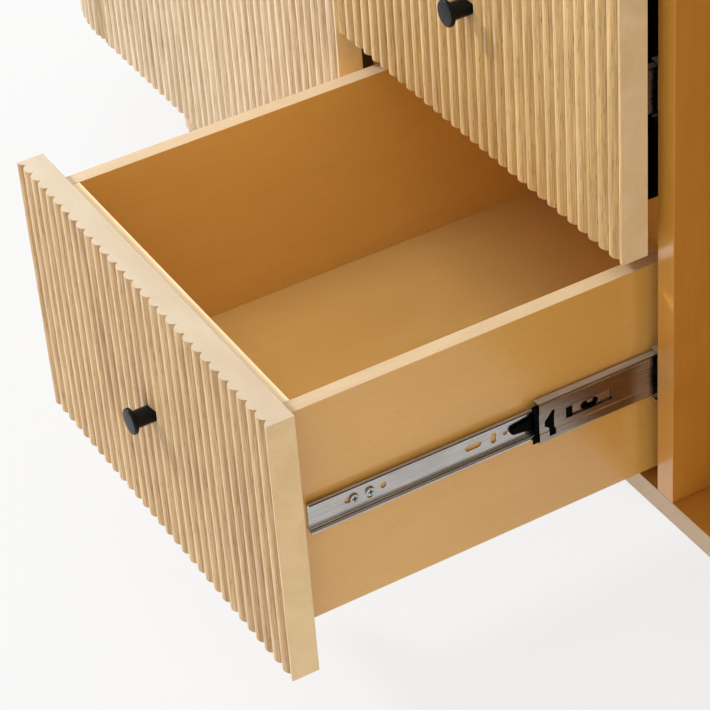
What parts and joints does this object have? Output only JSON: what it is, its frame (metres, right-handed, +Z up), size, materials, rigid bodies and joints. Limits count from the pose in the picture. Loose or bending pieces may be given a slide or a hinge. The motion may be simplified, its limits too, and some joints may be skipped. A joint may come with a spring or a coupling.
{
  "type": "vanity unit",
  "caption": "Double vanity unit with ribbed oak fronts, rounded ribbed ends, a drawer stack between two doors, a stone top with basins, and turned legs.",
  "frame": {"origin": "on the floor, at the centre of the underside of the centre leg's glide, under the middle of the unit", "axes": "+X to the right along the unit's width, +Y from the fronts into the depth, +Z up"},
  "size_m": [1.7634, 0.9457, 0.889],
  "materials": {
    "ribbed_oak": "satin lacquered oak",
    "carcass_wood": "satin lacquered",
    "box_wood": "satin lacquered",
    "leg_wood": "satin lacquered",
    "stone": "honed",
    "basin_glaze": "gloss glaze",
    "runner_steel": "zinc plated",
    "screw_steel": "zinc plated",
    "knob_black": "satin black",
    "black_plastic": "moulded",
    "glide_plastic": "moulded"
  },
  "bodies": {
    "cabinet": {"bottom_board": "carcass_wood", "left_divider": "carcass_wood", "right_divider": "carcass_wood", "back_board": "carcass_wood", "left_end_panel": "ribbed_oak", "right_end_panel": "ribbed_oak", "top_stretchers": "carcass_wood", "corner_posts": "carcass_wood", "stone_top": "stone", "left_basin": "basin_glaze", "right_basin": "basin_glaze", "front_left_leg": "leg_wood", "front_right_leg": "leg_wood", "back_left_leg": "leg_wood", "back_right_leg": "leg_wood", "centre_leg": "leg_wood", "leg_glides": "glide_plastic", "leg_bolts": "screw_steel", "cabinet_rails": "runner_steel", "door_pivots": "runner_steel", "door_catches": "black_plastic"},
    "left_door": {"left_door": "ribbed_oak", "left_door_knob": "knob_black"},
    "right_door": {"right_door": "ribbed_oak", "right_door_knob": "knob_black"},
    "lower_drawer": {"lower_front": "ribbed_oak", "lower_inner_front": "box_wood", "lower_sides": "box_wood", "lower_back": "box_wood", "lower_bottom": "box_wood", "lower_knob": "knob_black", "lower_drawer_rails": "runner_steel", "lower_levers": "black_plastic", "lower_screws": "screw_steel"},
    "lower_mid_slide": {"lower_mid_rails": "runner_steel", "lower_bumpers": "black_plastic"},
    "middle_drawer": {"middle_front": "ribbed_oak", "middle_inner_front": "box_wood", "middle_sides": "box_wood", "middle_back": "box_wood", "middle_bottom": "box_wood", "middle_knob": "knob_black", "middle_drawer_rails": "runner_steel", "middle_levers": "black_plastic", "middle_screws": "screw_steel"},
    "middle_mid_slide": {"middle_mid_rails": "runner_steel", "middle_bumpers": "black_plastic"},
    "upper_drawer": {"upper_front": "ribbed_oak", "upper_inner_front": "box_wood", "upper_sides": "box_wood", "upper_back": "box_wood", "upper_bottom": "box_wood", "upper_knob": "knob_black", "upper_drawer_rails": "runner_steel", "upper_levers": "black_plastic", "upper_screws": "screw_steel"},
    "upper_mid_slide": {"upper_mid_rails": "runner_steel", "upper_bumpers": "black_plastic"}
  },
  "joints": [
    {"name": "lower_drawer_slide", "type": "slide", "parent": "cabinet", "child": "lower_drawer", "axis": [0, -1, 0], "range_m": [-0.2783, 0.1717]},
    {"name": "lower_mid_slide_run", "type": "slide", "parent": "cabinet", "child": "lower_mid_slide", "axis": [0, -1, 0], "range_m": [-0.0929, 0.0574]},
    {"name": "middle_drawer_slide", "type": "slide", "parent": "cabinet", "child": "middle_drawer", "axis": [0, -1, 0], "range_m": [0, 0.45]},
    {"name": "middle_mid_slide_run", "type": "slide", "parent": "cabinet", "child": "middle_mid_slide", "axis": [0, -1, 0], "range_m": [0, 0.15]},
    {"name": "upper_drawer_slide", "type": "slide", "parent": "cabinet", "child": "upper_drawer", "axis": [0, -1, 0], "range_m": [0, 0.45]},
    {"name": "upper_mid_slide_run", "type": "slide", "parent": "cabinet", "child": "upper_mid_slide", "axis": [0, -1, 0], "range_m": [0, 0.15]},
    {"name": "left_door_pivot", "type": "hinge", "parent": "cabinet", "child": "left_door", "pos_m": [-0.6621, -0.2625, 0.5], "axis": [0, 0, -1], "range_deg": [0, 125]},
    {"name": "right_door_pivot", "type": "hinge", "parent": "cabinet", "child": "right_door", "pos_m": [0.6621, -0.2625, 0.5], "axis": [0, 0, 1], "range_deg": [-122, 3]}
  ],
  "couplings": [
    {"joint": "lower_mid_slide_run", "follows": "lower_drawer_slide", "ratio": 0.3333},
    {"joint": "middle_mid_slide_run", "follows": "middle_drawer_slide", "ratio": 0.3333},
    {"joint": "upper_mid_slide_run", "follows": "upper_drawer_slide", "ratio": 0.3333}
  ]
}
